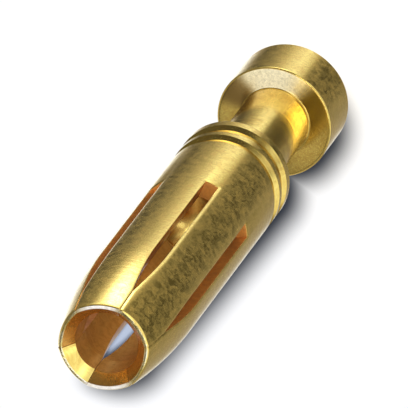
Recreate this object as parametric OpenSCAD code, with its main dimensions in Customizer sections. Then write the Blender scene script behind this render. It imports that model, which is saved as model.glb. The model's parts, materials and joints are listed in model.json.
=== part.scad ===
// Socket crimp contact, turned from one piece of copper alloy and gold plated.
// It stands on the rear face of its head, with the mouth for the pin at the top.
// Millimetres, +Z along the axis towards the mouth, origin in the rear face's centre.

/* [Barrel] */
// Diameter of the barrel that holds the tongues
barrel_d = 4.4; // [4.3:0.05:5]
// Length of the barrel from its rear shoulder to the lip of the mouth
barrel_len = 16.55; // [15.5:0.05:20]

/* [Tongues] */
// Number of tongues, with as many slots between them
tongue_count = 6; // [4:1:8]
// Width of a slot where the tongues are straight
slot_w = 0.55; // [0.3:0.05:0.7]
// Length of a slot from the lip to its square end
slot_len = 11.1; // [8:0.1:11.5]
// Gap that is left where neighbouring tongues are pressed together
closed_gap = 0.04; // [0.03:0.01:0.1]
// Length behind the lip over which the tongues are pressed together
closed_len = 1.4; // [0.8:0.1:2.5]
// Length behind the lip over which the tongues are bent inwards
bend_len = 5; // [4:0.1:7]
// How far past the start of the bend the slots begin to narrow
taper_lag = 0.2; // [0.1:0.05:1]
// How far the bend brings a tongue inwards, where its rounded nose begins
bend_depth = 0.46; // [0.3:0.02:0.5]

/* [Mouth] */
// Outer diameter of the lip
lip_d = 3.3; // [3.2:0.02:3.36]
// Thickness of the lip in the middle of a tongue
lip_t = 0.07; // [0.06:0.01:0.16]
// Length of the rounded nose behind the lip
nose_len = 0.15; // [0.1:0.01:0.4]
// Length of the bevel that leads the pin in
lead_in_len = 0.45; // [0.3:0.05:0.7]
// How much flatter each tongue's bevel is than a bevel round the axis
lead_in_flat = 0.4; // [0.1:0.05:0.6]

/* [Socket] */
// Diameter of the pin that the socket takes
pin_d = 2.5; // [2.3:0.01:2.56]
// How much narrower than the pin the free tongues are
pin_grip = 0.06; // [0.02:0.01:0.12]
// Length of the land that grips the pin
land_len = 1.2; // [0.6:0.1:2]
// Diameter of the bore behind the land
socket_d = 2.95; // [2.8:0.05:3.3]
// Depth of the full bore from the lip
socket_depth = 11.9; // [11.6:0.1:12.6]

/* [Identification grooves] */
// Number of grooves, which tells the wire size
groove_count = 2; // [1:1:3]
// Width of a groove at the surface
groove_w = 0.66; // [0.4:0.02:0.72]
// Depth of a groove
groove_depth = 0.15; // [0.05:0.01:0.25]
// Distance from one groove to the next
groove_pitch = 0.93; // [0.8:0.01:1.2]
// Land between the last groove and the shoulder
groove_setback = 0.42; // [0.2:0.02:0.8]

/* [Neck] */
// Diameter of the neck, which is pressed onto the wire
neck_d = 2.7; // [2.4:0.05:3.2]
// Length of the neck
neck_len = 5.16; // [4:0.02:7]
// Radius that the turning tool leaves at both ends of the neck
neck_fillet = 0.1; // [0.05:0.01:0.3]

/* [Head] */
// Diameter of the head
head_d = 4.5; // [4.2:0.05:5]
// Length of the head
head_len = 2.36; // [1.5:0.02:4]
// How far the head's front face falls from its edge to the neck
face_dish = 0.1; // [0.02:0.02:0.3]
// Break on the head's and the shoulder's edges
edge_break = 0.06; // [0.03:0.01:0.15]

/* [Crimp bore] */
// Diameter of the bore for the stripped wire
wire_bore_d = 1.75; // [1.1:0.05:2]
// Depth of the full bore from the rear face
wire_bore_depth = 7.5; // [5:0.1:9]
// Width of the funnel at the bore's entry
wire_funnel = 0.25; // [0.1:0.05:0.4]

/* [Hidden] */
$fn = 96;

// Point angle that a twist drill leaves at the bottom of a bore
drill_angle = 118;
// Overlap of a cut past the surface that it opens
past = 1;
// Steps along a bend, a nose, a fillet and the closing part of a slot
bend_steps = 12;
nose_steps = 6;
fillet_steps = 5;
close_steps = 12;

// Stations along the axis
shoulder_z = head_len + neck_len;
lip_z = shoulder_z + barrel_len;
bend_z = lip_z - bend_len;
taper_z = bend_z + taper_lag;
closed_z = lip_z - closed_len;
nose_z = lip_z - nose_len;
slot_z = lip_z - slot_len;
land_top_z = lip_z - lead_in_len;
land_z = land_top_z - land_len;
socket_z = lip_z - socket_depth;

// Radii
barrel_r = barrel_d / 2;
lip_r = lip_d / 2;
land_r = (pin_d - pin_grip) / 2;
socket_r = socket_d / 2;
neck_r = neck_d / 2;
head_r = head_d / 2;
wire_r = wire_bore_d / 2;

// Circle of the bend, tangent to the barrel
bend_run = nose_z - bend_z;
bend_circle_r = (bend_run * bend_run + bend_depth * bend_depth) / (2 * bend_depth);
bend_angle = asin(bend_run / bend_circle_r);

// Arc of the nose, tangent to the bend and ending on the lip
nose_start_r = barrel_r - bend_depth;
nose_chord_angle = atan2(nose_start_r - lip_r, nose_len);
nose_end_angle = 2 * nose_chord_angle - bend_angle;
nose_circle_r = nose_len / (sin(nose_end_angle) - sin(bend_angle));

// How far a tongue is bent inwards at a height on the bend
function bend_in(z) = bend_circle_r - sqrt(pow(bend_circle_r, 2) - pow(z - bend_z, 2));

// Cone depth of a drill point of a given radius
function drill_point(r) = r / tan(drill_angle / 2);

// Points of an arc in the section plane, centre c, from angle a to angle b
function arc(c, r, a, b, steps) =
    [for (i = [0 : steps]) c + r * [cos(a + (b - a) * i / steps), sin(a + (b - a) * i / steps)]];

// Width of a slot at a height, from the pressed tongues to the straight ones
function slot_gap(z) =
    closed_gap + (slot_w - closed_gap) * sin(90 * (closed_z - z) / (closed_z - taper_z));

// Outline of the turned blank in the section plane, from the rear face up to the lip
blank_section = concat(
    [[0, 0], [head_r - edge_break, 0], [head_r, edge_break]],
    [[head_r, head_len - edge_break], [head_r - edge_break, head_len]],
    arc([neck_r + neck_fillet, head_len - face_dish + neck_fillet], neck_fillet, 270, 180, fillet_steps),
    arc([neck_r + neck_fillet, shoulder_z - neck_fillet], neck_fillet, 180, 90, fillet_steps),
    [[barrel_r - edge_break, shoulder_z], [barrel_r, shoulder_z + edge_break]],
    arc([barrel_r - bend_circle_r, bend_z], bend_circle_r, 0, bend_angle, bend_steps),
    [for (i = [1 : nose_steps])
        let (a = bend_angle + (nose_end_angle - bend_angle) * i / nose_steps)
        [nose_start_r - nose_circle_r * (cos(bend_angle) - cos(a)),
         nose_z + nose_circle_r * (sin(a) - sin(bend_angle))]],
    [[0, lip_z]]
);

// Outline of the socket bore, which follows the bend up to the land
socket_section = concat(
    [[0, socket_z - drill_point(socket_r)], [socket_r, socket_z]],
    [for (i = [0 : bend_steps])
        let (z = bend_z + (land_z - bend_z) * i / bend_steps)
        [socket_r - bend_in(z), z]],
    [[land_r, land_z + socket_r - bend_in(land_z) - land_r], [land_r, lip_z + past], [0, lip_z + past]]
);

// Outline of the crimp bore with its funnel, opened past the rear face
wire_section = [
    [0, -past],
    [wire_r + wire_funnel + past, -past],
    [wire_r, wire_funnel],
    [wire_r, wire_bore_depth],
    [0, wire_bore_depth + drill_point(wire_r)]
];

// One slot's outline, across and along the barrel
slot_side = concat(
    [[slot_w / 2, slot_z]],
    [for (i = [0 : close_steps])
        let (z = taper_z + (closed_z - taper_z) * i / close_steps)
        [slot_gap(z) / 2, z]],
    [[closed_gap / 2, lip_z + past]]
);
slot_outline = concat(
    slot_side,
    [for (i = [len(slot_side) - 1 : -1 : 0]) [-slot_side[i].x, slot_side[i].y]]
);

// The slots between the tongues, each cut through one wall
module slots() {
    for (i = [0 : tongue_count - 1])
        rotate([0, 0, 360 * i / tongue_count])
            rotate([90, 0, 90])
                linear_extrude(height = barrel_r + past)
                    polygon(slot_outline);
}

// The bevel inside each tongue's lip, a cone about an axis set off behind the tongue.
// Each cone is kept to its tongue's sector, whose sides run inside the gaps beside the tongue.
module lead_ins() {
    half = 180 / tongue_count;
    apex = [closed_gap / 4 / sin(half), 0];
    side = 2 * barrel_r * [cos(half), sin(half)];
    fall = (lip_r - lip_t - land_r) / lead_in_len;
    cone_r = lip_r - lip_t + lead_in_flat;
    depth = 2 * lead_in_len;
    for (i = [0 : tongue_count - 1])
        rotate([0, 0, 360 * (i + 0.5) / tongue_count])
            intersection() {
                translate([-lead_in_flat, 0, lip_z - depth])
                    cylinder(h = depth + past, r1 = cone_r - fall * depth, r2 = cone_r + fall * past);
                translate([0, 0, lip_z - depth])
                    linear_extrude(height = depth + past)
                        polygon([apex, apex + [side.x, -side.y], apex + side]);
            }
}

// The grooves round the barrel, with sides at 45 degrees
module grooves() {
    for (i = [0 : groove_count - 1]) {
        low = shoulder_z + groove_setback + i * groove_pitch;
        rotate_extrude()
            polygon([
                [barrel_r - groove_depth, low + groove_depth],
                [barrel_r + past, low - past],
                [barrel_r + past, low + groove_w + past],
                [barrel_r - groove_depth, low + groove_w - groove_depth]
            ]);
    }
}

// The whole contact, one solid
module socket_contact() {
    color("goldenrod")
        difference() {
            rotate_extrude() polygon(blank_section);
            rotate_extrude() polygon(socket_section);
            rotate_extrude() polygon(wire_section);
            grooves();
            slots();
            lead_ins();
        }
}

socket_contact();
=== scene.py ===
# Socket crimp contact: turned copper alloy with gold plating, standing on its head
import json
import math

import bmesh
import bpy
from mathutils import Matrix, Vector


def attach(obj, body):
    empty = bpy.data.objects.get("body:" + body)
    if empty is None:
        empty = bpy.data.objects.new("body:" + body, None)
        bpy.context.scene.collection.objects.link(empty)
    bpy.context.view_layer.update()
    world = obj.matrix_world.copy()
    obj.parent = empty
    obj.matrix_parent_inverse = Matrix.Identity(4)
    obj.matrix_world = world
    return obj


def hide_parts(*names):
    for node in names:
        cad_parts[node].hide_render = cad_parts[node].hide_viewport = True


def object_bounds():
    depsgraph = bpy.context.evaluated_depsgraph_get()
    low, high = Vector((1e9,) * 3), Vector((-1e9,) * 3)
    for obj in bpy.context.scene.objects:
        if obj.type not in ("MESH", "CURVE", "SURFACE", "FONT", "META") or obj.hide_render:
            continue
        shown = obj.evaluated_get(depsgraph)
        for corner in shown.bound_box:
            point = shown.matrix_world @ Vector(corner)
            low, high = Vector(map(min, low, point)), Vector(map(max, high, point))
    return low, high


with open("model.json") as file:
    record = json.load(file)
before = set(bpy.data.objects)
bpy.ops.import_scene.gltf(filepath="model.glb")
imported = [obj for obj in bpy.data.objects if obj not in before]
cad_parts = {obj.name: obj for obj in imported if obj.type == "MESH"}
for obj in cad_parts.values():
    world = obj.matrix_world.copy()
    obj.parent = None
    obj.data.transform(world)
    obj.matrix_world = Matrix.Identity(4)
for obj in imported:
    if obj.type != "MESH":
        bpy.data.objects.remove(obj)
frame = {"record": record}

bl_info = {
    "name": "Socket crimp contact",
    "version": (1, 0, 0),
    "blender": (4, 5, 0),
    "location": "3D View > Sidebar > Contact",
    "description": "Models a turned and gold-plated socket contact and the stage it stands on",
    "category": "Add Mesh",
}

CAD_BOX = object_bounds()

# A millimetre in metres. The contact is modelled in millimetres and brought to metres at the end.
MM = 0.001

# Sizes that the frame gives
CONTACT_LENGTH = CAD_BOX[1].z / MM
HEAD_WIDTH = 2 * CAD_BOX[1].x / MM
MOUNTS = frame["record"]["mounts"]
ROUND_MOUNTS = {mount["name"]: mount["dims"]["r_mm"] for mount in MOUNTS if "r_mm" in mount["dims"]}

# Faces round the contact: columns across half a slot and across half a tongue
SLOT_COLUMNS = 4
TONGUE_COLUMNS = 14
# Rows along a tongue's straight part, its bend and its nose, a small rounding and the head's face
STRAIGHT_ROWS = 6
BEND_ROWS = 24
NOSE_ROWS = 8
ROUND_ROWS = 5
DISH_ROWS = 12
# Slope of the head's dished face at its edge, as a share of its mean slope
DISH_START = 0.7
# Width of the strips beside a rounded edge that keep its shading off the plain surfaces, in millimetres
EDGE_KEEP = 0.02
# Places of the columns across a slot's rolled edge, as shares of its width
ROLL_PARTS = (0.25, 0.85, 1.15)
# Share of the roll that a slot's less rolled side has
SMALL_ROLL = 0.25
# How near two places count as one, in millimetres
NEAR = 0.002
# Point angle that a twist drill leaves at the bottom of a bore
DRILL_ANGLE = math.radians(118)
# Angle between two faces from which tumbling rounds the edge, and up to which they are shaded as one
SHARP_ANGLE = math.radians(50)
SMOOTH_ANGLE = math.radians(32)
# Faces on a rounded edge of a slot or the lip
BURR_FACES = 3

# The picture: a square of so many pixels, the pixel where the mouth's centre lies, and the scale
PICTURE_PX = 408
MOUTH_PX = (104.4, 345.6)
PX_PER_MM = 26.7
# Where the camera stands: round the contact, above the floor, and how the picture is turned, in degrees
CAMERA_AZIMUTH = 18.4
CAMERA_ELEVATION = 60.9
CAMERA_ROLL = -142.8
# Lens and sensor in millimetres, and what the camera sees in depth, in metres
CAMERA_LENS = 1500
CAMERA_SENSOR = 36
CAMERA_DEPTH = (0.01, 10.0)


def linear(hex_colour):
    """Turns an sRGB hex colour into linear red, green, blue and a full alpha."""
    parts = [int(hex_colour[i:i + 2], 16) / 255 for i in (1, 3, 5)]
    return (*[part / 12.92 if part <= 0.04045 else ((part + 0.055) / 1.055) ** 2.4 for part in parts], 1.0)


def length(name, description, mm):
    """A length that a user would change, given in millimetres."""
    return bpy.props.FloatProperty(
        name=name, description=description, default=mm * MM, min=0.0, precision=5, unit="LENGTH")


def colour(name, description, hex_colour):
    """A colour that a user would change, given as sRGB hex."""
    return bpy.props.FloatVectorProperty(
        name=name, description=description, default=linear(hex_colour), size=4, min=0.0, max=1.0,
        subtype="COLOR")


def standing_at(azimuth, elevation):
    """Direction from the contact to something that stands round it and above the floor, in degrees."""
    turn, rise = math.radians(azimuth), math.radians(elevation)
    return Vector((math.sin(turn) * math.cos(rise), -math.cos(turn) * math.cos(rise), math.sin(rise)))


class ContactSizes(bpy.types.PropertyGroup):
    """Sizes of the contact. The closed gap and the neck's fillet are finer than in the solid model."""

    total_len: length("Length", "From the rear face to the lip of the mouth", CONTACT_LENGTH)
    barrel_d: length("Barrel diameter", "Outside of the barrel with the tongues", 4.4)
    barrel_len: length("Barrel length", "From the rear shoulder to the lip", 16.55)
    slot_w: length("Slot width", "Where the tongues are straight", 0.55)
    slot_len: length("Slot length", "From the lip to the slot's square end", 11.1)
    closed_gap: length("Closed gap", "Left where the tongues are pressed together", 0.015)
    closed_len: length("Closed length", "Behind the lip, where the tongues are pressed together", 1.4)
    bend_len: length("Bend length", "Behind the lip, where the tongues are bent inwards", 5.0)
    taper_lag: length("Taper lag", "How far past the bend's start the slots begin to narrow", 0.2)
    bend_depth: length("Bend depth", "How far the bend brings a tongue inwards", 0.46)
    lip_d: length("Lip diameter", "Outside of the lip", 3.3)
    lip_t: length("Lip thickness", "In the middle of a tongue", 0.07)
    nose_len: length("Nose length", "Rounded nose behind the lip", 0.15)
    lead_in_len: length("Lead-in length", "Bevel that leads the pin in", 0.45)
    lead_in_flat: length("Lead-in flatness", "How much flatter a tongue's bevel is than a round one", 0.4)
    land_r: length("Land radius", "Land that grips the pin", ROUND_MOUNTS["pin_socket"])
    land_len: length("Land length", "Land that grips the pin", 1.2)
    socket_r: length("Socket radius", "Bore behind the land", ROUND_MOUNTS["socket_bore"])
    socket_depth: length("Socket depth", "Full bore from the lip", 11.9)
    groove_w: length("Groove width", "Identification groove at the surface", 0.66)
    groove_depth: length("Groove depth", "Identification groove", 0.15)
    groove_pitch: length("Groove pitch", "From one groove to the next", 0.93)
    groove_setback: length("Groove setback", "Land between the grooves and the shoulder", 0.42)
    neck_d: length("Neck diameter", "Neck that is pressed onto the wire", 2.7)
    neck_len: length("Neck length", "From the head to the shoulder", 5.16)
    neck_fillet: length("Neck fillet", "Left by the turning tool at both ends of the neck", 0.05)
    head_d: length("Head diameter", "Outside of the head", HEAD_WIDTH)
    edge_break: length("Edge break", "Rounding of the head's and the shoulder's edges", 0.06)
    wire_r: length("Wire bore radius", "Bore for the stripped wire", ROUND_MOUNTS["crimp_bore"])
    wire_depth: length("Wire bore depth", "Full bore from the rear face", 7.5)
    wire_funnel: length("Wire funnel", "Funnel at the wire bore's entry", 0.25)
    face_dish: length("Face dish", "How far the head's front face falls towards the neck", 0.1)
    burr: length("Edge rounding", "Rounding that tumbling leaves on sawn edges", 0.03)
    roll_w: length("Roll width", "Strip beside a slot that sawing and tumbling roll over", 0.09)
    roll_depth: length("Roll depth", "How far that strip falls at the slot's edge", 0.029)
    tongue_count: bpy.props.IntProperty(name="Tongues", description="Tongues round the mouth", default=6)
    groove_count: bpy.props.IntProperty(name="Grooves", description="Identification grooves", default=2)


class PlatingLook(bpy.types.PropertyGroup):
    """Colours of the gold plating, with its painted highlights and shade, and the sizes of its surface marks.
    """

    gold: colour("Gold", "Plating where it is bright", "#f3d676")
    gold_dull: colour("Dull gold", "Plating in the hollows of its grain", "#dfba5e")
    # Pale gold of the worn lip, which also paints a highlight on one side of the head's face
    pale_gold_and_sheen: colour("Matt gold", "The side of the head's face that tumbling left matt", "#fdf2cb")
    # Painted shade on the head's face, beside its painted highlight
    gold_painted_shade: colour("Dark gold", "The side of the head's face next to the matt one", "#8f7440")
    # Painted white highlights on two stretches of the lip
    gold_painted_highlight: colour("Burnished gold", "Stretches of the lip that are rubbed white", "#fff8ee")
    # Redder gold in the bores and the slots, and on the mouth's bevels: a painted warm inter-reflection
    bore_gold: colour("Bore gold", "Thinner and redder plating in the bores and the slots", "#e7b159")
    bore_gold_dull: colour("Dull bore gold", "The same in the hollows of its grain", "#cf9440")
    # Darker, redder gold on the sawn walls and deep in the bores: painted shade in the recesses
    deep_gold: colour("Deep gold", "Thinnest plating, on the sawn walls and deep in the bores", "#dc9a4a")
    deep_gold_dull: colour("Dull deep gold", "The same in the hollows of its grain", "#c58340")
    # The real marks are a few hundredths of a millimetre wide, too fine for the picture's 27 pixels to
    # a millimetre, so these are drawn as coarse as they need to show
    grain: length("Grain", "Smudges and grain that tumbling and plating leave", 0.3)
    fine_grain: length("Fine grain", "Sparkle of the matt face", 0.12)
    broad_grain: length("Broad grain", "Unevenness where a tool or a pin has smoothed the plating", 0.75)
    lip_grain: length("Lip grain", "Small dents along the lip", 0.48)
    turning: length("Turning pitch", "Rings that the turning tool leaves", 0.22)


class StageLook(bpy.types.PropertyGroup):
    """Colours of the stage, with the shadow painted on its floor."""

    floor: colour("Floor", "Floor under the contact", "#f7f7f7")
    # The floor's painted shadow: its darkest tone, and its lighter tone where it is seen through the contact
    shade: colour("Shade", "Darkest part of the soft shade beside the contact", "#33373f")
    through: colour("Shade behind", "The soft shade where it is seen through the contact", "#b4bfd2")
    fill: colour("Fill light", "Light from all round that falls on the floor", "#e4eaff")


def off_axis_r(circle_r, off, turn):
    """Distance from the axis, at an angle, to a circle whose centre lies off the axis the other way."""
    return math.sqrt(circle_r ** 2 - (off * math.sin(turn)) ** 2) - off * math.cos(turn)


class Shape:
    """Places on the contact, in millimetres, worked out from its sizes."""

    def __init__(self, sizes):
        for name in sizes.__annotations__:
            value = getattr(sizes, name)
            setattr(self, name, value if isinstance(value, int) else value / MM)
        self.barrel_r = self.barrel_d / 2
        self.neck_r = self.neck_d / 2
        self.head_r = self.head_d / 2
        self.lip_r = self.lip_d / 2
        self.lip_z = self.total_len
        self.shoulder_z = self.lip_z - self.barrel_len
        self.head_z = self.shoulder_z - self.neck_len
        self.bend_z = self.lip_z - self.bend_len
        self.taper_z = self.bend_z + self.taper_lag
        self.closed_z = self.lip_z - self.closed_len
        self.nose_z = self.lip_z - self.nose_len
        self.slot_z = self.lip_z - self.slot_len
        self.land_top_z = self.lip_z - self.lead_in_len
        self.land_z = self.land_top_z - self.land_len
        self.socket_z = self.lip_z - self.socket_depth
        self.half_sector = math.pi / self.tongue_count
        # Circle of the bend, tangent to the barrel
        run = self.nose_z - self.bend_z
        self.bend_r = (run ** 2 + self.bend_depth ** 2) / (2 * self.bend_depth)
        self.bend_angle = math.asin(run / self.bend_r)
        # Arc of the nose, tangent to the bend and ending on the lip
        self.nose_r = self.barrel_r - self.bend_depth
        chord = math.atan2(self.nose_r - self.lip_r, self.nose_len)
        self.nose_angle = 2 * chord - self.bend_angle
        self.nose_arc_r = self.nose_len / (math.sin(self.nose_angle) - math.sin(self.bend_angle))
        # Cone of a tongue's bevel
        self.cone_r = self.lip_r - self.lip_t + self.lead_in_flat
        self.cone_fall = (self.lip_r - self.lip_t - self.land_r) / self.lead_in_len

    def bend_in(self, z):
        """How far a tongue is bent inwards at a height."""
        past = max(z - self.bend_z, 0.0)
        return self.bend_r - math.sqrt(self.bend_r ** 2 - past ** 2)

    def outer_r(self, z):
        """Radius of the outside of a tongue at a height."""
        if z <= self.nose_z:
            return self.barrel_r - self.bend_in(z)
        turn = math.asin((z - self.nose_z) / self.nose_arc_r + math.sin(self.bend_angle))
        return self.nose_r - self.nose_arc_r * (math.cos(self.bend_angle) - math.cos(turn))

    def flank_r(self, z, turn):
        """Radius of a bent tongue, which keeps the barrel's curve, at an angle from the tongue's middle."""
        return off_axis_r(self.barrel_r, self.barrel_r - self.outer_r(z), turn)

    def roll(self, away, wide):
        """How far the outside falls at a distance from a slot's edge, on its more or less rolled side."""
        part = 1 if wide else SMALL_ROLL
        return self.roll_depth * max(part - away / self.roll_w, 0)

    def inner_r(self, z):
        """Radius of the inside of a tongue at a height, in the tongue's middle."""
        if z <= self.land_z + NEAR:
            return self.socket_r - self.bend_in(z)
        if z <= self.land_top_z + NEAR:
            return self.land_r
        return self.land_r + self.cone_fall * (z - self.land_top_z)

    def middle_r(self, z):
        """Radius half way through the wall of a tongue at a height."""
        return (self.outer_r(min(z, self.lip_z)) + self.inner_r(z)) / 2

    def slot_wall_r(self, r, z):
        """Radius of the wall whose slot the columns at a place follow."""
        if z > self.slot_z - NEAR:
            return r
        if r <= self.socket_r and z > self.socket_z - NEAR:
            return self.socket_r
        return self.barrel_r

    def bevel_r(self, z, turn):
        """Radius of a tongue's bevel at a height and at an angle from the tongue's middle."""
        return off_axis_r(self.cone_r - self.cone_fall * (self.lip_z - z), self.lead_in_flat, turn)

    def bevel_foot_z(self, turn):
        """Height at which a tongue's bevel meets the land, at an angle from the tongue's middle."""
        off = self.lead_in_flat
        cone = math.hypot(self.land_r + off * math.cos(turn), off * math.sin(turn))
        return self.lip_z - (self.cone_r - cone) / self.cone_fall

    def gap(self, z):
        """Width of a slot at a height."""
        if z <= self.taper_z:
            return self.slot_w
        if z >= self.closed_z:
            return self.closed_gap
        part = (self.closed_z - z) / (self.closed_z - self.taper_z)
        return self.closed_gap + (self.slot_w - self.closed_gap) * math.sin(math.pi / 2 * part)

    def tongue_rows(self):
        """Heights of the rows along a tongue, from the slot's end to the lip."""
        step_z = self.land_z + self.socket_r - self.bend_in(self.land_z) - self.land_r
        straight, bend = self.bend_z - self.slot_z, self.nose_z - self.bend_z
        rows = [self.slot_z + straight * i / STRAIGHT_ROWS for i in range(STRAIGHT_ROWS)]
        rows += [self.bend_z + bend * i / BEND_ROWS for i in range(BEND_ROWS)]
        for i in range(NOSE_ROWS):
            turn = self.bend_angle + (self.nose_angle - self.bend_angle) * i / NOSE_ROWS
            rows.append(self.nose_z + self.nose_arc_r * (math.sin(turn) - math.sin(self.bend_angle)))
        rows += [self.land_z, step_z, self.land_top_z, self.lip_z]
        return sorted(rows)


def arc(centre, radius, start, end):
    """Points of an arc in the section, by the angles at which it starts and ends, in degrees."""
    turns = [math.radians(start + (end - start) * i / ROUND_ROWS) for i in range(ROUND_ROWS + 1)]
    return [(centre[0] + radius * math.cos(turn), centre[1] + radius * math.sin(turn)) for turn in turns]


def drill_point(radius):
    """Depth of the cone that a drill leaves."""
    return radius / math.tan(DRILL_ANGLE / 2)


def contact_section(shape):
    """Outline of the contact beside its axis, from the wire bore's end round to the socket's end."""
    edge, fillet = shape.edge_break, shape.neck_fillet
    edge_r, root_r = shape.head_r - edge, shape.neck_r + fillet
    root_z, neck_top_z = shape.head_z - shape.face_dish + fillet, shape.shoulder_z - fillet
    points = [
        (0, shape.wire_depth + drill_point(shape.wire_r)),
        (shape.wire_r, shape.wire_depth),
        (shape.wire_r, shape.wire_funnel),
        (shape.wire_r + shape.wire_funnel, 0),
    ]
    points += arc((edge_r, edge), edge, -90, 0)
    points += [(shape.head_r, edge + EDGE_KEEP), (shape.head_r, shape.head_z - edge - EDGE_KEEP)]
    points += arc((edge_r, shape.head_z - edge), edge, 0, 90)
    for i in range(1, DISH_ROWS):
        part = i / DISH_ROWS
        fall = shape.face_dish * part * (DISH_START + (1 - DISH_START) * part)
        points += [(edge_r - (edge_r - root_r) * part, shape.head_z - fall)]
    points += arc((root_r, root_z), fillet, 270, 180)
    points += [(shape.neck_r, root_z + EDGE_KEEP), (shape.neck_r, neck_top_z - EDGE_KEEP)]
    points += arc((root_r, neck_top_z), fillet, 180, 90)
    points += [(root_r + EDGE_KEEP, shape.shoulder_z), (shape.barrel_r - edge - EDGE_KEEP, shape.shoulder_z)]
    points += arc((shape.barrel_r - edge, shape.shoulder_z + edge), edge, -90, 0)
    points += [(shape.barrel_r, shape.shoulder_z + edge + EDGE_KEEP)]
    for i in range(shape.groove_count):
        low = shape.shoulder_z + shape.groove_setback + i * shape.groove_pitch
        high = low + shape.groove_w
        depth = shape.groove_depth
        floor_r = shape.barrel_r - depth
        points += [(shape.barrel_r, low), (floor_r, low + depth)]
        points += [(floor_r, high - depth), (shape.barrel_r, high)]
    points += [(shape.barrel_r, shape.slot_z - shape.roll_w * part) for part in reversed(ROLL_PARTS)]
    rows = shape.tongue_rows()
    points += [(shape.outer_r(z), z) for z in rows]
    points += [(shape.inner_r(z), z) for z in reversed(rows)]
    points += [(shape.socket_r, shape.socket_z), (0, shape.socket_z - drill_point(shape.socket_r))]
    return points


def pick(piece, kind, test):
    """Selects the edges or faces of an open mesh that pass a test, and only those."""
    bpy.ops.mesh.select_mode(type={"edges": "EDGE", "faces": "FACE"}[kind])
    bpy.ops.mesh.select_all(action="DESELECT")
    mesh = bmesh.from_edit_mesh(piece.data)
    for part in getattr(mesh, kind):
        if test(part):
            part.select_set(True)
    mesh.select_flush_mode()
    bmesh.update_edit_mesh(piece.data)


def draw_section(points):
    """Draws an outline by pulling one vertex from point to point in the XZ plane."""
    bpy.ops.object.select_all(action="DESELECT")
    bpy.ops.mesh.primitive_plane_add(size=1)
    piece = bpy.context.active_object
    bpy.ops.object.mode_set(mode="EDIT")
    bpy.ops.mesh.merge(type="CENTER")
    at = Vector((0, 0, 0))
    for number, (r, z) in enumerate(points):
        to = Vector((r, 0, z))
        if number == 0:
            bpy.ops.transform.translate(value=to - at)
        else:
            bpy.ops.mesh.extrude_region_move(TRANSFORM_OT_translate={"value": to - at})
        at = to
    return piece


def column_turn(shape, column, edge, wall_r):
    """Angle of a column: even across the slot, close in the rolled strip, even again to the middle."""
    past = column - SLOT_COLUMNS
    if past <= 0:
        return edge * column / SLOT_COLUMNS
    strip = [edge + shape.roll_w * part / wall_r for part in ROLL_PARTS]
    if past <= len(strip):
        return strip[past - 1]
    rest = shape.half_sector - strip[-1]
    return strip[-1] + rest * (past - len(strip)) / (TONGUE_COLUMNS - len(strip))


def shape_half_tongue(piece, shape):
    """Moves the spun columns to the slot's edge and gives each tongue its own curve and bevel."""
    columns = SLOT_COLUMNS + TONGUE_COLUMNS
    mesh = bmesh.from_edit_mesh(piece.data)
    for vertex in mesh.verts:
        r, z = math.hypot(vertex.co.x, vertex.co.y), vertex.co.z
        if r < NEAR:
            continue
        column = round(math.atan2(vertex.co.y, vertex.co.x) / shape.half_sector * columns)
        in_mouth = z > shape.land_top_z - NEAR and r < shape.lip_r - shape.lip_t / 2
        outside = z > shape.bend_z and r > shape.middle_r(z)
        wall_r = shape.slot_wall_r(r, z)
        turn = column_turn(shape, column, math.asin(shape.gap(z) / 2 / wall_r), wall_r)
        off_middle = shape.half_sector - turn
        if in_mouth and z < shape.land_top_z + NEAR:
            z = shape.bevel_foot_z(off_middle)
        elif in_mouth:
            r = shape.bevel_r(z, off_middle)
        elif outside:
            r = shape.flank_r(z, off_middle)
        vertex.co = (r * math.cos(turn), r * math.sin(turn), z)
    bmesh.update_edit_mesh(piece.data)


def saw_half_slot(piece, shape):
    """Opens half a slot through the wall and closes its flank and its square end."""

    def in_slot(face):
        middle = face.calc_center_median()
        return middle.z > shape.slot_z + NEAR and abs(middle.y) < shape.gap(middle.z) / 2

    def on_slot_edge(edge):
        low = min(vertex.co.z for vertex in edge.verts)
        side = max(abs(vertex.co.y) for vertex in edge.verts)
        on_tongue = shape.slot_z - NEAR < low < shape.lip_z - NEAR
        return edge.is_boundary and on_tongue and side < shape.slot_w / 2 + NEAR

    pick(piece, "faces", in_slot)
    bpy.ops.mesh.delete(type="FACE")
    pick(piece, "edges", on_slot_edge)
    bpy.ops.mesh.bridge_edge_loops()


def join_tongues(piece, shape):
    """Mirrors the half sector, repeats it round the axis and closes the seams."""
    bpy.ops.object.mode_set(mode="OBJECT")
    mirror = piece.modifiers.new("Other half", "MIRROR")
    mirror.use_axis = (False, True, False)
    mirror.merge_threshold = NEAR
    bpy.ops.object.modifier_apply(modifier=mirror.name)
    bpy.ops.object.mode_set(mode="EDIT")
    bpy.ops.mesh.select_all(action="SELECT")
    sector = 2 * shape.half_sector
    bpy.ops.mesh.spin(
        steps=shape.tongue_count - 1, angle=2 * math.pi - sector, dupli=True, center=(0, 0, 0),
        axis=(0, 0, 1))
    bpy.ops.mesh.select_all(action="SELECT")
    bpy.ops.mesh.remove_doubles(threshold=NEAR)
    bpy.ops.mesh.normals_make_consistent(inside=False)


def roll_slot_edges(piece, shape):
    """Rolls the outside over at the slots, more on the side where the saw came out and at the end."""
    mesh = bmesh.from_edit_mesh(piece.data)
    sector = 2 * shape.half_sector
    for vertex in mesh.verts:
        r, z = math.hypot(vertex.co.x, vertex.co.y), vertex.co.z
        if not shape.slot_z - 2 * shape.roll_w < z < shape.lip_z - NEAR or r < shape.middle_r(z):
            continue
        turn = math.remainder(math.atan2(vertex.co.y, vertex.co.x), sector)
        beside = max(abs(turn) * r - shape.gap(z) / 2, 0)
        below = max(shape.slot_z - z, 0)
        part = 1 - shape.roll(math.hypot(beside, below), turn < 0 or below > 0) / r
        vertex.co = (vertex.co.x * part, vertex.co.y * part, z)
    bmesh.update_edit_mesh(piece.data)


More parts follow.
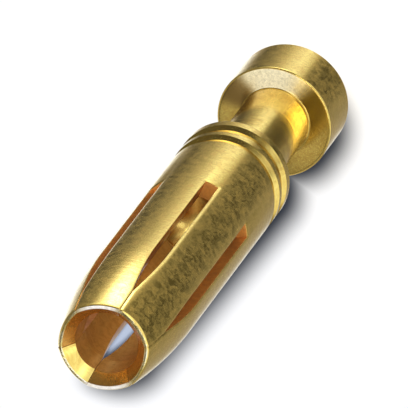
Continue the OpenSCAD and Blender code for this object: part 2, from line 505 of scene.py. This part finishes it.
def round_sawn_edges(piece, shape):
    """Rounds the sharp edges of the slots and the lip, as tumbling does."""

    def sharp(edge):
        if len(edge.link_faces) != 2 or min(vertex.co.z for vertex in edge.verts) < shape.slot_z - NEAR:
            return False
        return edge.is_convex and edge.calc_face_angle(0) > SHARP_ANGLE

    pick(piece, "edges", sharp)
    bpy.ops.mesh.bevel(offset=shape.burr, segments=BURR_FACES, affect="EDGES", clamp_overlap=True)
    mesh = bmesh.from_edit_mesh(piece.data)
    for vertex in mesh.verts:
        vertex.co.z = min(vertex.co.z, shape.lip_z)
    bmesh.update_edit_mesh(piece.data)


class CONTACT_OT_contact(bpy.types.Operator):
    """Models the turned, slotted and plated contact in place of its solid"""

    bl_idname = "contact.contact"
    bl_label = "Socket contact"

    def execute(self, context):
        shape = Shape(context.scene.contact_sizes)
        piece = draw_section(contact_section(shape))
        bpy.ops.mesh.select_all(action="SELECT")
        bpy.ops.mesh.spin(
            steps=SLOT_COLUMNS + TONGUE_COLUMNS, angle=-shape.half_sector, center=(0, 0, 0), axis=(0, 0, 1),
            use_auto_merge=False)
        shape_half_tongue(piece, shape)
        saw_half_slot(piece, shape)
        join_tongues(piece, shape)
        roll_slot_edges(piece, shape)
        round_sawn_edges(piece, shape)
        lay_finishes(piece, shape, context.scene.plating_look)
        bpy.ops.object.mode_set(mode="OBJECT")
        piece.scale = (MM, MM, MM)
        bpy.ops.object.transform_apply(location=False, rotation=False, scale=True)
        bpy.ops.object.shade_smooth_by_angle(angle=SMOOTH_ANGLE)
        piece.name = piece.data.name = "gold_plated_contact"
        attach(piece, "root")
        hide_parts("socket_contact")
        return {"FINISHED"}


def add(tree, kind, inputs=None, stops=None, **settings):
    """Adds a node with its settings, the values or links of its inputs and the stops of its ramp."""
    made = tree.nodes.new(kind)
    for name, value in settings.items():
        setattr(made, name, value)
    for name, value in (inputs or {}).items():
        if isinstance(value, bpy.types.NodeSocket):
            tree.links.new(value, made.inputs[name])
        else:
            made.inputs[name].default_value = value
    if stops:
        points = made.color_ramp.elements
        points.remove(points[1])
        points[0].position, points[0].color = stops[0]
        for place, shade in stops[1:]:
            points.new(place).color = shade
    return made


# Noise behind the grain, broad smudges that break up into specks, and behind the turning rings
GRAIN_NOISE = {"Detail": 5.0, "Roughness": 0.75, "Distortion": 0.8}
RING_NOISE = {"Scale": 1.0, "Detail": 2.0, "Roughness": 0.6}
# Values of the grain that count as its hollows and as its tops
GRAIN_HOLLOW = 0.38
GRAIN_TOP = 0.59
# How far the grain and the turning rings stand out at full strength, in metres
GRAIN_HEIGHT = 0.03 * MM
RING_HEIGHT = 0.02 * MM
# How much the rings are drawn out round the contact
RING_STRETCH = 20
# Half the angle of a patch's even middle, in degrees
PATCH_CORE = 6


def gold_finish(name, shades, grain_size, ring_size, rough, metal, grain_bump, ring_bump, patches):
    """Gold plating on turned copper alloy: smudges and a grain over the rings that the tool left."""
    material = bpy.data.materials.new(name)
    material.use_nodes = True
    tree = material.node_tree
    tree.nodes.clear()
    place = add(tree, "ShaderNodeTexCoord").outputs["Object"]
    grain = add(
        tree, "ShaderNodeTexNoise",
        {"Vector": place, "Scale": 1 / grain_size, **GRAIN_NOISE}).outputs["Fac"]
    along = 1 / ring_size
    rings = add(
        tree, "ShaderNodeMapping",
        {"Vector": place, "Scale": (along / RING_STRETCH, along / RING_STRETCH, along)})
    turned = add(tree, "ShaderNodeTexNoise", {"Vector": rings.outputs["Vector"], **RING_NOISE})
    tone = add(
        tree, "ShaderNodeValToRGB", {"Fac": grain},
        stops=[(GRAIN_HOLLOW, tuple(shades[1])), (GRAIN_TOP, tuple(shades[0]))]).outputs["Color"]
    spots = {"Value": grain, "From Min": GRAIN_HOLLOW, "From Max": GRAIN_TOP}
    gloss = add(tree, "ShaderNodeMapRange", {**spots, "To Min": rough[1], "To Max": rough[0]})
    metallic = add(
        tree, "ShaderNodeMapRange", {**spots, "To Min": metal[1], "To Max": metal[0]}).outputs["Result"]
    # Each patch paints a highlight or a shade in one direction round the axis, and lets the grain dull the
    # metal there
    for towards, width, other_tone, dulling in patches:
        flat = add(tree, "ShaderNodeVectorMath", {0: place, 1: (1, 1, 0)}, operation="MULTIPLY")
        out = add(tree, "ShaderNodeVectorMath", {0: flat.outputs["Vector"]}, operation="NORMALIZE")
        near = add(
            tree, "ShaderNodeVectorMath", {0: out.outputs["Vector"], 1: towards}, operation="DOT_PRODUCT")
        mask = add(
            tree, "ShaderNodeMapRange",
            {"Value": near.outputs["Value"], "From Min": math.cos(math.radians(width)),
             "From Max": math.cos(math.radians(PATCH_CORE))},
            interpolation_type="SMOOTHSTEP").outputs["Result"]
        tone = add(
            tree, "ShaderNodeMix", {0: mask, 6: tone, 7: tuple(other_tone)}, data_type="RGBA").outputs[2]
        spotty = add(tree, "ShaderNodeMath", {0: grain, 1: dulling}, operation="MULTIPLY").outputs["Value"]
        dull = add(tree, "ShaderNodeMath", {0: mask, 1: spotty}, operation="MULTIPLY").outputs["Value"]
        metallic = add(tree, "ShaderNodeMath", {0: metallic, 1: dull}, operation="SUBTRACT").outputs["Value"]
    tooled = add(
        tree, "ShaderNodeBump",
        {"Height": turned.outputs["Fac"], "Strength": ring_bump, "Distance": RING_HEIGHT})
    tumbled = add(
        tree, "ShaderNodeBump",
        {"Height": grain, "Strength": grain_bump, "Distance": GRAIN_HEIGHT,
         "Normal": tooled.outputs["Normal"]})
    shader = add(
        tree, "ShaderNodeBsdfPrincipled",
        {"Base Color": tone, "Roughness": gloss.outputs["Result"], "Metallic": metallic,
         "Normal": tumbled.outputs["Normal"]})
    add(tree, "ShaderNodeOutputMaterial", {"Surface": shader.outputs["BSDF"]})
    return material


# How far up a face has to look to count as level or as sloping
LEVEL = 0.9
SLOPING = 0.3
# How little a face may look away from the axis to count as a sawn side, or as turned inwards
SIDEWAYS = 0.3
INWARDS = 0.1
# Directions of the painted highlights and painted shade that finishes have in patches, in degrees round the
# axis
FACE_HIGHLIGHT_SIDE = 55
FACE_SHADE_SIDE = 108
CONE_HIGHLIGHT_SIDE = CAMERA_AZIMUTH + 180
LIP_HIGHLIGHT_SIDES = (CAMERA_AZIMUTH + 40, CAMERA_AZIMUTH - 141)


def lay_finishes(piece, shape, look):
    """Gives the outside, the turned neck and face, the sawn and bored walls and the bevels a finish each."""

    def place(face):
        middle = face.calc_center_median()
        return math.hypot(middle.x, middle.y), middle.z

    def outwards(face):
        middle = face.calc_center_median()
        return face.normal.dot(Vector((middle.x, middle.y, 0)).normalized())

    def turned(face):
        r, z = place(face)
        if shape.shoulder_z + shape.groove_setback < z < shape.slot_z - 2 * shape.roll_w:
            return shape.barrel_r - shape.groove_depth - NEAR < r < shape.barrel_r - NEAR
        on_neck = shape.head_z - shape.face_dish - NEAR < z < shape.shoulder_z - NEAR
        return on_neck and shape.wire_r + NEAR < r < shape.head_r - shape.edge_break

    def faced(face):
        return turned(face) and face.normal.z > LEVEL

    def bored(face):
        r, z = place(face)
        if z < shape.wire_depth + shape.wire_r:
            return r < (shape.neck_r + shape.wire_r) / 2
        if z < shape.slot_z - NEAR:
            return r < (shape.barrel_r + shape.socket_r) / 2
        if z > shape.land_top_z and face.normal.z > SLOPING:
            return False
        return sawn(face) or r < shape.middle_r(z)

    def sawn(face):
        return place(face)[1] > shape.slot_z - NEAR and abs(outwards(face)) < SIDEWAYS

    def deep(face):
        return bored(face) and (sawn(face) or place(face)[1] < shape.socket_z)

    def drilled(face):
        r, z = place(face)
        low = shape.socket_z - drill_point(shape.socket_r) - NEAR
        return low < z < shape.socket_z and r < shape.socket_r

    def bevelled(face):
        low = shape.bevel_foot_z(shape.half_sector) - NEAR
        return place(face)[1] > low and face.normal.z > SLOPING and outwards(face) < INWARDS

    # The one bevel that gets the painted highlight
    def rubbed(face):
        across = place(face)[0] * math.cos(shape.half_sector)
        return bevelled(face) and face.calc_center_median().y > across

    def rim(face):
        return place(face)[1] > shape.lip_z - shape.burr - NEAR

    outside = (look.gold, look.gold_dull)
    inside = (look.bore_gold, look.bore_gold_dull)
    hidden = (look.deep_gold, look.deep_gold_dull)
    worn = (look.pale_gold_and_sheen, look.gold)
    # Patches of painted highlight and painted shade: direction, half the angle that they reach over, tone,
    # how strongly the grain dulls the metal
    face_painted_light = (
        (standing_at(FACE_HIGHLIGHT_SIDE, 0), 56, look.pale_gold_and_sheen, 1.5),
        (standing_at(FACE_SHADE_SIDE, 0), 26, look.gold_painted_shade, 0.2),
    )
    cone_painted_highlight = ((standing_at(CONE_HIGHLIGHT_SIDE, 0), 75, look.gold, 0.0),)
    lip_painted_highlights = (
        (standing_at(LIP_HIGHLIGHT_SIDES[0], 0), 36, look.gold_painted_highlight, 1.7),
        (standing_at(LIP_HIGHLIGHT_SIDES[1], 0), 44, look.gold_painted_highlight, 1.7),
    )
    # Each row: name, faces, tones, grain, roughness and metal on the grain's tops and in its hollows,
    # strength of the grain's and the rings' relief, patches
    finishes = (
        # Tumbled outside: a soft shine that smudges dull here and there
        ("tumbled", None, outside, look.grain, (0.15, 0.22), (1.0, 0.72), 0.07, 0.25, ()),
        # Neck and grooves: clean metal, with faint rings across the light
        ("turned", turned, outside, look.broad_grain, (0.19, 0.2), (1.0, 0.97), 0, 0.3, ()),
        # Head's front face: half shiny, half a pale, matt painted highlight with a sparkle, and a painted
        # shade
        ("faced", faced, outside, look.fine_grain, (0.2, 0.22), (1.0, 0.97), 0, 0, face_painted_light),
        # Socket's wall: blurred, and amber as a painted warm inter-reflection
        ("bored", bored, inside, look.grain, (0.3, 0.38), (0.66, 0.6), 0.1, 0.3, ()),
        # Sawn walls and bore ends: dull, and reddish brown as painted shade
        ("deep", deep, hidden, look.grain, (0.28, 0.34), (0.68, 0.64), 0.03, 0.3, ()),
        # Cone at the socket's end: a golden mirror, with a painted brighter gold highlight on its far side
        ("drilled", drilled, inside, look.grain, (0.18, 0.2), (1.0, 1.0), 0, 0.1, cone_painted_highlight),
        # Bevels in the mouth: a blurred shine, amber as a painted warm inter-reflection
        ("bevel", bevelled, inside, look.broad_grain, (0.24, 0.28), (0.88, 0.86), 0, 0.1, ()),
        # The one bevel on one side, in the bright outside gold: a painted yellow highlight
        ("rubbed", rubbed, outside, look.broad_grain, (0.1, 0.13), (1.0, 1.0), 0, 0.05, ()),
        # Lip: a thin bright line with small dents, with painted white highlights on two stretches
        ("rim", rim, worn, look.lip_grain, (0.1, 0.14), (1.0, 1.0), 0.6, 0, lip_painted_highlights),
    )
    for number, row in enumerate(finishes):
        name, where, shades, grain, rough, metal, grain_bump, ring_bump, patches = row
        finish = gold_finish(
            "gold_plating_" + name, shades, grain, look.turning, rough, metal, grain_bump, ring_bump, patches)
        piece.data.materials.append(finish)
        if where:
            pick(piece, "faces", where)
            piece.active_material_index = number
            bpy.ops.object.material_slot_assign()


# Width of the floor, in metres
FLOOR_WIDTH = 6.0
# Painted soft shadow beside the contact, in millimetres behind the axis: where the head's part
# of it and the barrel's part of it start and end
SHADES = ((0.8, 1.3), (4.2, 13.2))
# How far the shade lies to one side where the barrel's part starts and ends, in millimetres
SHADE_SHIFT = (0.67, 0.25)
# Distance over which the shade's tones run, in millimetres
SHADE_REACH = 4.0
# Shares of that distance: how far the shade keeps its inner tone, where it is darkest, and where it has
# faded into the floor on its open side and on the side that the contact hides
SHADE_INNER = 0.345
SHADE_DARKEST = 0.388
SHADE_END = 0.74
SHADE_HIDDEN_END = 0.44
# Where the hidden side passes into the open one, across the shade, in millimetres
SHADE_SIDES = (-0.9, 0.5)


def white_floor(look):
    """White board with a painted soft shadow in its colour, since a lamp at the camera throws none to the
    side.
    """
    # Matt board, white with no shine, with the painted shadow in its colour
    material = bpy.data.materials.new("white_board")
    material.use_nodes = True
    tree = material.node_tree
    shader = tree.nodes["Principled BSDF"]
    place = add(tree, "ShaderNodeTexCoord").outputs["Object"]
    side = standing_at(CAMERA_AZIMUTH - 90, 0) / MM
    back = standing_at(CAMERA_AZIMUTH + 180, 0) / MM
    across = add(tree, "ShaderNodeVectorMath", {0: place, 1: side}, operation="DOT_PRODUCT").outputs["Value"]
    along = add(tree, "ShaderNodeVectorMath", {0: place, 1: back}, operation="DOT_PRODUCT").outputs["Value"]
    shift = add(
        tree, "ShaderNodeMapRange",
        {"Value": along, "From Min": SHADES[1][0], "From Max": SHADES[1][1],
         "To Min": SHADE_SHIFT[0], "To Max": SHADE_SHIFT[1]}).outputs["Result"]
    beside = add(tree, "ShaderNodeMath", {0: across, 1: shift}, operation="SUBTRACT").outputs["Value"]
    near = SHADE_REACH
    for start, end in SHADES:
        kept = add(tree, "ShaderNodeClamp", {"Value": along, "Min": start, "Max": end}).outputs["Result"]
        past = add(tree, "ShaderNodeMath", {0: along, 1: kept}, operation="SUBTRACT").outputs["Value"]
        both = add(tree, "ShaderNodeCombineXYZ", {"X": beside, "Y": past}).outputs["Vector"]
        off = add(tree, "ShaderNodeVectorMath", {0: both}, operation="LENGTH").outputs["Value"]
        near = add(tree, "ShaderNodeMath", {0: off, 1: near}, operation="MINIMUM").outputs["Value"]
    part = add(tree, "ShaderNodeMath", {0: near, 1: SHADE_REACH}, operation="DIVIDE").outputs["Value"]
    inner = (SHADE_INNER, tuple(look.through))
    darkest = (SHADE_DARKEST, tuple(look.shade))
    floor_tone = tuple(look.floor)
    ramps = []
    # Painted shadow: a lighter tone on the hidden side, a dark band on the open side, both fading into the
    # floor
    for stops in ([inner, (SHADE_HIDDEN_END, floor_tone)], [inner, darkest, (SHADE_END, floor_tone)]):
        ramp = add(tree, "ShaderNodeValToRGB", {"Fac": part}, stops=stops)
        ramp.color_ramp.interpolation = "EASE"
        ramps.append(ramp.outputs["Color"])
    sided = add(
        tree, "ShaderNodeMapRange",
        {"Value": beside, "From Min": SHADE_SIDES[0], "From Max": SHADE_SIDES[1]},
        interpolation_type="SMOOTHSTEP").outputs["Result"]
    shade = add(tree, "ShaderNodeMix", {0: sided, 6: ramps[0], 7: ramps[1]}, data_type="RGBA").outputs[2]
    tree.links.new(shade, shader.inputs["Base Color"])
    shader.inputs["Roughness"].default_value = 0.9
    shader.inputs["Specular IOR Level"].default_value = 0.0
    bpy.ops.object.select_all(action="DESELECT")
    bpy.ops.mesh.primitive_plane_add(size=FLOOR_WIDTH)
    floor = bpy.context.active_object
    floor.name = "floor"
    floor.data.materials.append(material)
    # The metal mirrors the studio below the floor's level too
    floor.visible_glossy = False


# What the metal sees below it, by degrees round from the camera and by level
BELOW = (
    (-180, 1.1), (-160, 1.5), (-144, 0.85), (-128, 0.22), (-112, 0.06), (-95, 0.14), (-78, 0.25),
    (-58, 0.48), (-42, 0.93), (-26, 1.18), (-14, 0.86), (-2, 0.19), (16, 0.10), (46, 0.07),
    (64, 0.12), (84, 0.26), (112, 0.31), (130, 0.34), (146, 0.42), (160, 0.8), (170, 1.1))
# What the metal sees above it
ABOVE = (
    (-180, 0.14), (-170, 0.22), (-162, 0.44), (-152, 0.55), (-138, 0.42), (-120, 0.16), (-90, 0.10),
    (-40, 0.08), (-12, 0.07), (60, 0.08), (110, 0.18), (138, 0.36), (146, 0.48), (156, 0.66),
    (162, 0.52), (166, 0.24), (172, 0.12))
# Elevations between which the one passes into the other, in degrees
HORIZON = (-25, 8)
# Elevations between which the light overhead dims, in degrees, and the share of it that is left
OVERHEAD = (64, 70)
OVERHEAD_LEFT = 0.2
# Soft lights among them: degrees from the camera, elevation, full and fading radius, level
SOFT_LIGHTS = (
    (-47, -32, 8, 27, 1.1),
    (-45, -40, 5, 14, 2.6),
    (28, 2, 20, 34, 1.1),
    (0, 10, 10, 20, 0.9),
    (78, 8, 22, 36, 1.0),
    (-8, 59, 5, 11, 4.0),
    (85, 79, 4, 19, 4.0),
    (-90, 73, 6, 16, 0.7),
)
# The light's red, green and blue at a dim and at a bright level: warm where dim, cool where bright
TINTS = ((0.35, (1.07, 1.0, 0.86, 1.0)), (1.0, (1.02, 1.08, 1.16, 1.0)))
WHITE = (1, 1, 1, 1)
# Level of the even light that falls on the floor
FILL_LEVEL = 0.17


def sine(degrees):
    """Height of a direction at an elevation."""
    return math.sin(math.radians(degrees))


def studio_world(look):
    """White to the camera, a plain fill to the floor, and graded by direction to the metal."""
    world = bpy.data.worlds.new("studio")
    bpy.context.scene.world = world
    world.use_nodes = True
    # Without light sampling, every ray that reaches the world tells its kind, which the mixes below need
    world.cycles.sampling_method = "NONE"
    tree = world.node_tree
    tree.nodes.clear()
    way = add(tree, "ShaderNodeTexCoord").outputs["Generated"]
    height = add(tree, "ShaderNodeSeparateXYZ", {0: way}).outputs["Z"]
    compass = add(tree, "ShaderNodeTexGradient", {"Vector": way}, gradient_type="RADIAL").outputs["Fac"]
    ramps = []
    for levels in (BELOW, ABOVE):
        stops = []
        for turn, bright in levels:
            stops.append(((CAMERA_AZIMUTH + 90 - turn) % 360 / 360, (bright, bright, bright, 1.0)))
        ramps.append(add(tree, "ShaderNodeValToRGB", {"Fac": compass}, stops=sorted(stops)).outputs["Color"])
    level = add(
        tree, "ShaderNodeMapRange",
        {"Value": height, "From Min": sine(HORIZON[0]), "From Max": sine(HORIZON[1]),
         "To Min": ramps[0], "To Max": ramps[1]},
        interpolation_type="SMOOTHSTEP").outputs["Result"]
    overhead = add(
        tree, "ShaderNodeMapRange",
        {"Value": height, "From Min": sine(OVERHEAD[0]), "From Max": sine(OVERHEAD[1]),
         "To Min": 1.0, "To Max": OVERHEAD_LEFT}).outputs["Result"]
    level = add(tree, "ShaderNodeMath", {0: level, 1: overhead}, operation="MULTIPLY").outputs["Value"]
    for turn, elevation, full, fading, bright in SOFT_LIGHTS:
        towards = standing_at(CAMERA_AZIMUTH - turn, elevation)
        near = add(tree, "ShaderNodeVectorMath", {0: way, 1: towards}, operation="DOT_PRODUCT")
        glow = add(
            tree, "ShaderNodeMapRange",
            {"Value": near.outputs["Value"], "From Min": math.cos(math.radians(fading)),
             "From Max": math.cos(math.radians(full)), "To Max": bright},
            interpolation_type="SMOOTHSTEP")
        level = add(tree, "ShaderNodeMath", {0: level, 1: glow.outputs["Result"]}).outputs["Value"]
    path = add(tree, "ShaderNodeLightPath")
    tint = add(tree, "ShaderNodeValToRGB", {"Fac": level}, stops=TINTS)
    graded = add(tree, "ShaderNodeBackground", {"Color": tint.outputs["Color"], "Strength": level})
    fill = add(tree, "ShaderNodeBackground", {"Color": tuple(look.fill), "Strength": FILL_LEVEL})
    white = add(tree, "ShaderNodeBackground", {"Color": WHITE, "Strength": 1.0})
    lit = add(
        tree, "ShaderNodeMixShader",
        {0: path.outputs["Is Glossy Ray"], 1: fill.outputs["Background"], 2: graded.outputs["Background"]})
    seen = add(
        tree, "ShaderNodeMixShader",
        {0: path.outputs["Is Camera Ray"], 1: lit.outputs["Shader"], 2: white.outputs["Background"]})
    add(tree, "ShaderNodeOutputWorld", {"Surface": seen.outputs["Shader"]})


# Strength of the lamp, and the angle that it fills, in degrees
LAMP_STRENGTH = 3.45
LAMP_ANGLE = 0.6


def lamp():
    """Lamp at the camera, whose own shadow lies hidden behind the contact."""
    bpy.ops.object.light_add(type="SUN")
    sun = bpy.context.active_object
    sun.name = "lamp"
    sun.data.energy = LAMP_STRENGTH
    sun.data.angle = math.radians(LAMP_ANGLE)
    # The metal mirrors the studio alone
    sun.visible_glossy = False
    sun.rotation_euler = standing_at(CAMERA_AZIMUTH, CAMERA_ELEVATION).to_track_quat("Z", "Y").to_euler()


def picture_camera():
    """Long lens that looks down on the mouth, with the picture's own roll."""
    towards = standing_at(CAMERA_AZIMUTH, CAMERA_ELEVATION)
    turn = towards.to_track_quat("Z", "Y").to_matrix() @ Matrix.Rotation(math.radians(CAMERA_ROLL), 3, "Z")
    right, up = turn.col[0], turn.col[1]
    middle = PICTURE_PX / 2
    mouth = Vector((0, 0, CAD_BOX[1].z))
    target = mouth + MM / PX_PER_MM * ((middle - MOUTH_PX[0]) * right + (MOUTH_PX[1] - middle) * up)
    target -= towards * CAD_BOX[1].z * towards.z / 2
    distance = PICTURE_PX / PX_PER_MM * MM * CAMERA_LENS / CAMERA_SENSOR
    bpy.ops.object.camera_add()
    camera = bpy.context.active_object
    camera.name = "camera"
    camera.data.lens = CAMERA_LENS
    camera.data.sensor_width = CAMERA_SENSOR
    camera.data.clip_start, camera.data.clip_end = CAMERA_DEPTH
    camera.matrix_world = Matrix.Translation(target + towards * distance) @ turn.to_4x4()
    bpy.context.scene.camera = camera


class CONTACT_OT_stage(bpy.types.Operator):
    """Sets out the floor, the light and the camera"""

    bl_idname = "contact.stage"
    bl_label = "Stage"

    def execute(self, context):
        context.scene.view_settings.view_transform = "Standard"
        white_floor(context.scene.stage_look)
        studio_world(context.scene.stage_look)
        lamp()
        picture_camera()
        return {"FINISHED"}


class CONTACT_PT_contact(bpy.types.Panel):
    """Lists the contact's operators and its sizes and colours"""

    bl_label = "Socket contact"
    bl_space_type = "VIEW_3D"
    bl_region_type = "UI"
    bl_category = "Contact"

    def draw(self, context):
        for operator in (CONTACT_OT_contact, CONTACT_OT_stage):
            self.layout.operator(operator.bl_idname)
        for group in (context.scene.contact_sizes, context.scene.plating_look, context.scene.stage_look):
            for name in group.__annotations__:
                self.layout.prop(group, name)


CLASSES = (
    ContactSizes, PlatingLook, StageLook, CONTACT_OT_contact, CONTACT_OT_stage, CONTACT_PT_contact)


def register():
    for cls in CLASSES:
        bpy.utils.register_class(cls)
    bpy.types.Scene.contact_sizes = bpy.props.PointerProperty(type=ContactSizes)
    bpy.types.Scene.plating_look = bpy.props.PointerProperty(type=PlatingLook)
    bpy.types.Scene.stage_look = bpy.props.PointerProperty(type=StageLook)


def unregister():
    del bpy.types.Scene.stage_look
    del bpy.types.Scene.plating_look
    del bpy.types.Scene.contact_sizes
    for cls in reversed(CLASSES):
        bpy.utils.unregister_class(cls)


def main():
    register()
    bpy.ops.contact.contact()
    bpy.ops.contact.stage()


if __name__ == "__main__":
    main()
